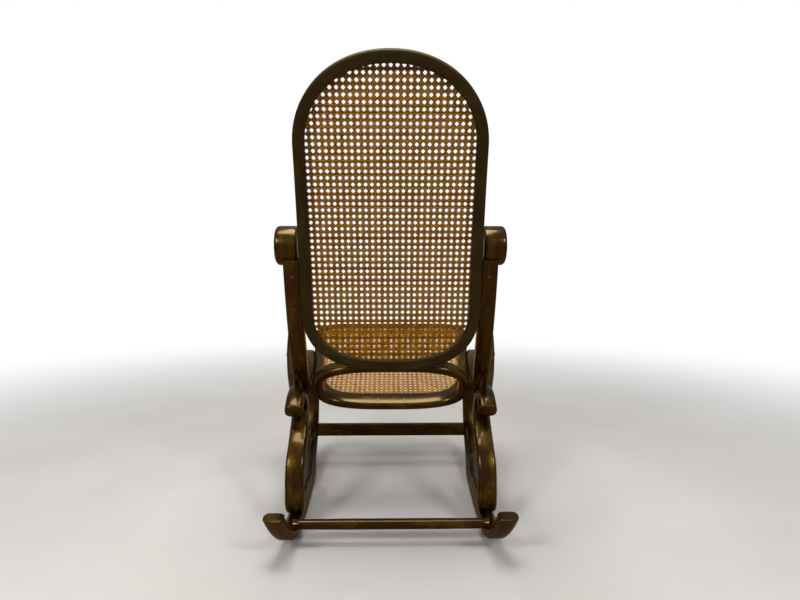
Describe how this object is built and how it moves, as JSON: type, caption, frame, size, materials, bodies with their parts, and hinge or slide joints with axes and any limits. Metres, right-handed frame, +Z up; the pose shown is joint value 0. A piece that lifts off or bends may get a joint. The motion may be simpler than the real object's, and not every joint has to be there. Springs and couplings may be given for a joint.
{
  "type": "rocking chair",
  "caption": "Bentwood rocking chair with scrolled arms and curled rockers, a tall rounded back and a sloping seat, both filled with woven cane.",
  "frame": {"origin": "on the floor, under the middle of the chair's overall width and depth", "axes": "+Z up, -Y the way a sitter faces, +X the sitter's left"},
  "size_m": [0.627, 0.7883, 1.0537],
  "materials": {
    "walnut": "gloss varnish",
    "dusty_walnut": "dulled varnish",
    "cane": "woven, satin",
    "spline": "satin",
    "steel": "worn"
  },
  "bodies": {
    "root": {"back_frame": "dusty_walnut", "back_cane": "cane", "back_spline": "spline", "seat_frame": "walnut", "seat_cane": "cane", "seat_spline": "spline", "oval_ring": "walnut", "left_runner_stick": "walnut", "left_arm_stick": "walnut", "left_side_post": "walnut", "right_runner_stick": "walnut", "right_arm_stick": "walnut", "right_side_post": "walnut", "rear_rod": "walnut", "front_stretcher": "walnut", "left_post_dowel_1": "walnut", "left_post_dowel_2": "walnut", "left_post_screw_1": "steel", "left_post_screw_2": "steel", "left_post_screw_3": "steel", "left_crossing_bolt_1": "steel", "left_seat_bolt_1": "steel", "left_loop_screw_1": "steel", "left_loop_screw_2": "steel", "left_stretcher_screw_1": "steel", "left_stretcher_screw_2": "steel", "right_post_dowel_1": "walnut", "right_post_dowel_2": "walnut", "right_post_screw_1": "steel", "right_post_screw_2": "steel", "right_post_screw_3": "steel", "right_crossing_bolt_1": "steel", "right_seat_bolt_1": "steel", "right_loop_screw_1": "steel", "right_loop_screw_2": "steel", "right_stretcher_screw_1": "steel", "right_stretcher_screw_2": "steel", "ring_seat_screw_1": "steel", "ring_seat_screw_2": "steel", "ring_back_screw_1": "steel", "ring_back_screw_2": "steel"}
  },
  "joints": []
}
